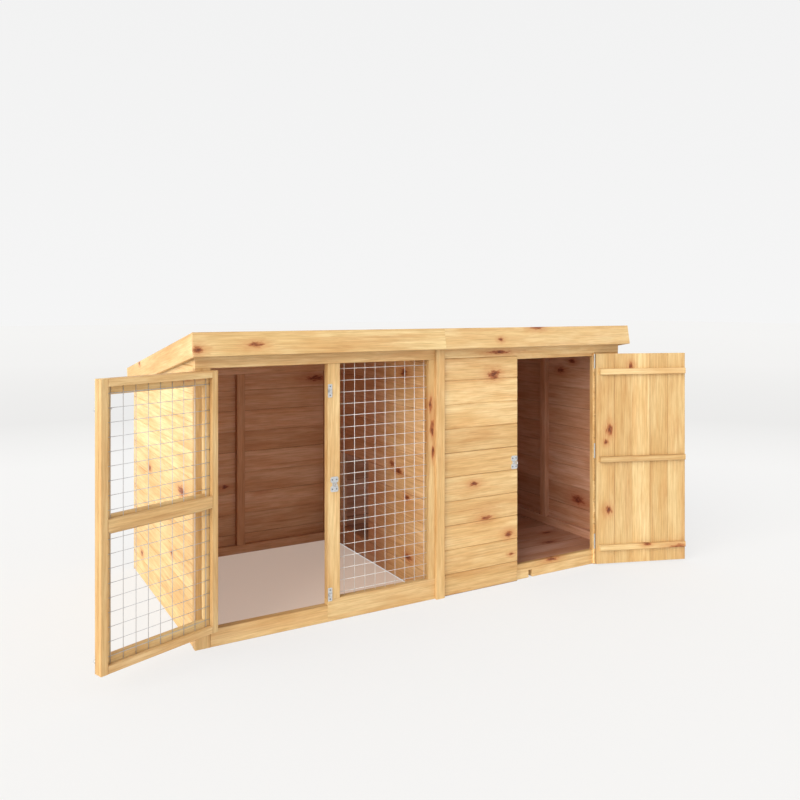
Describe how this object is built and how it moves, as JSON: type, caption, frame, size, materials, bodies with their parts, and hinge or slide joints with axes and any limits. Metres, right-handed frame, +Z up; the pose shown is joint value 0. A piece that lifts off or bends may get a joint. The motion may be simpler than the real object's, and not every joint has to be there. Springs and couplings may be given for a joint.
{
  "type": "dog kennel with run",
  "caption": "Timber dog kennel with an attached mesh-fronted run under one pent roof, hinged doors with hasps and bolts, and a pop hole between the two rooms.",
  "frame": {"origin": "on the ground at the middle of the walls' footprint, in the underside of the middle floor bearer", "axes": "+X to the right along the front seen from the front, -Y out of the front, +Z up"},
  "size_m": [2.9195, 1.3996, 1.2262],
  "materials": {
    "pine_boards": "planed and clear stained, satin",
    "pine_framing": "planed and clear stained, satin",
    "pine_trim": "planed and clear stained, satin",
    "roof_sheet": "raw sheet board",
    "felt": "mineral faced, matt",
    "mesh_wire": "galvanised",
    "zinc_hardware": "bright zinc plated"
  },
  "bodies": {
    "house": {"run_corner_post": "pine_framing", "run_door_sill": "pine_framing", "mesh_panel_bottom_rail": "pine_framing", "run_mid_post": "pine_framing", "mesh_panel_stile": "pine_framing", "run_top_rail": "pine_framing", "run_front_mesh": "mesh_wire", "left_wall_boards": "pine_boards", "right_wall_boards": "pine_boards", "run_back_boards": "pine_boards", "kennel_back_boards": "pine_boards", "left_wall_frame": "pine_framing", "right_wall_frame": "pine_framing", "run_back_frame": "pine_framing", "kennel_back_frame": "pine_framing", "partition_boards": "pine_boards", "partition_frame": "pine_framing", "kennel_front_boards_left": "pine_boards", "kennel_front_boards_right": "pine_boards", "kennel_head_board": "pine_boards", "kennel_front_frame": "pine_framing", "kennel_sill": "pine_framing", "cover_batten": "pine_trim", "floor_bearers": "pine_framing", "floor_boards": "pine_boards", "roof_sheet_left": "roof_sheet", "roof_sheet_right": "roof_sheet", "roof_battens": "pine_framing", "roof_felt": "felt", "front_fascia_left": "pine_trim", "front_fascia_right": "pine_trim", "rear_fascia": "pine_trim", "left_bargeboard": "pine_trim", "right_bargeboard": "pine_trim", "hinge_post_leaves": "zinc_hardware", "hinge_pins": "zinc_hardware", "staple_plates": "zinc_hardware", "bolt_keeps": "zinc_hardware", "house_screws": "zinc_hardware"},
    "run_door": {"run_door_stiles": "pine_framing", "run_door_rails": "pine_framing", "run_door_strips": "pine_framing", "run_door_mesh": "mesh_wire", "run_door_hinge_leaves": "zinc_hardware", "run_hasp_leaf": "zinc_hardware", "bolt_bases": "zinc_hardware", "run_door_screws": "zinc_hardware"},
    "kennel_door": {"kennel_door_boards": "pine_boards", "kennel_door_ledges": "pine_framing", "kennel_door_hinge_leaves": "zinc_hardware", "kennel_hasp_leaf": "zinc_hardware", "kennel_door_screws": "zinc_hardware"},
    "run_hasp_strap": {"run_hasp_strap": "zinc_hardware"},
    "kennel_hasp_strap": {"kennel_hasp_strap": "zinc_hardware"},
    "run_swivel": {"run_swivel": "zinc_hardware"},
    "kennel_swivel": {"kennel_swivel": "zinc_hardware"},
    "lower_bolt_rod": {"lower_bolt_rod": "zinc_hardware"},
    "upper_bolt_rod": {"upper_bolt_rod": "zinc_hardware"}
  },
  "joints": [
    {"name": "run_door_swing", "type": "hinge", "parent": "house", "child": "run_door", "pos_m": [-1.0505, -0.5636, 0.575], "axis": [0, 0, 1], "range_deg": [-16, 159]},
    {"name": "kennel_door_swing", "type": "hinge", "parent": "house", "child": "kennel_door", "pos_m": [0.946, -0.5636, 0.585], "axis": [0, 0, 1], "range_deg": [-160, 14]},
    {"name": "run_hasp_fold", "type": "hinge", "parent": "run_door", "child": "run_hasp_strap", "pos_m": [-1.47575, -0.72684, 0.575], "axis": [0, 0, 1], "range_deg": [-5, 170]},
    {"name": "kennel_hasp_fold", "type": "hinge", "parent": "kennel_door", "child": "kennel_hasp_strap", "pos_m": [1.36604, -0.71648, 0.575], "axis": [0, 0, 1], "range_deg": [-170, 5]},
    {"name": "run_staple_turn", "type": "hinge", "parent": "house", "child": "run_swivel", "pos_m": [-0.525, -0.561, 0.575], "axis": [0, 1, 0], "range_deg": [-90, 90]},
    {"name": "kennel_staple_turn", "type": "hinge", "parent": "house", "child": "kennel_swivel", "pos_m": [0.429, -0.561, 0.575], "axis": [0, 1, 0], "range_deg": [-90, 90]},
    {"name": "lower_bolt_slide", "type": "slide", "parent": "run_door", "child": "lower_bolt_rod", "axis": [-0.9336, -0.3584, 0], "range_m": [0, 0.02]},
    {"name": "upper_bolt_slide", "type": "slide", "parent": "run_door", "child": "upper_bolt_rod", "axis": [-0.9336, -0.3584, 0], "range_m": [0, 0.02]}
  ]
}
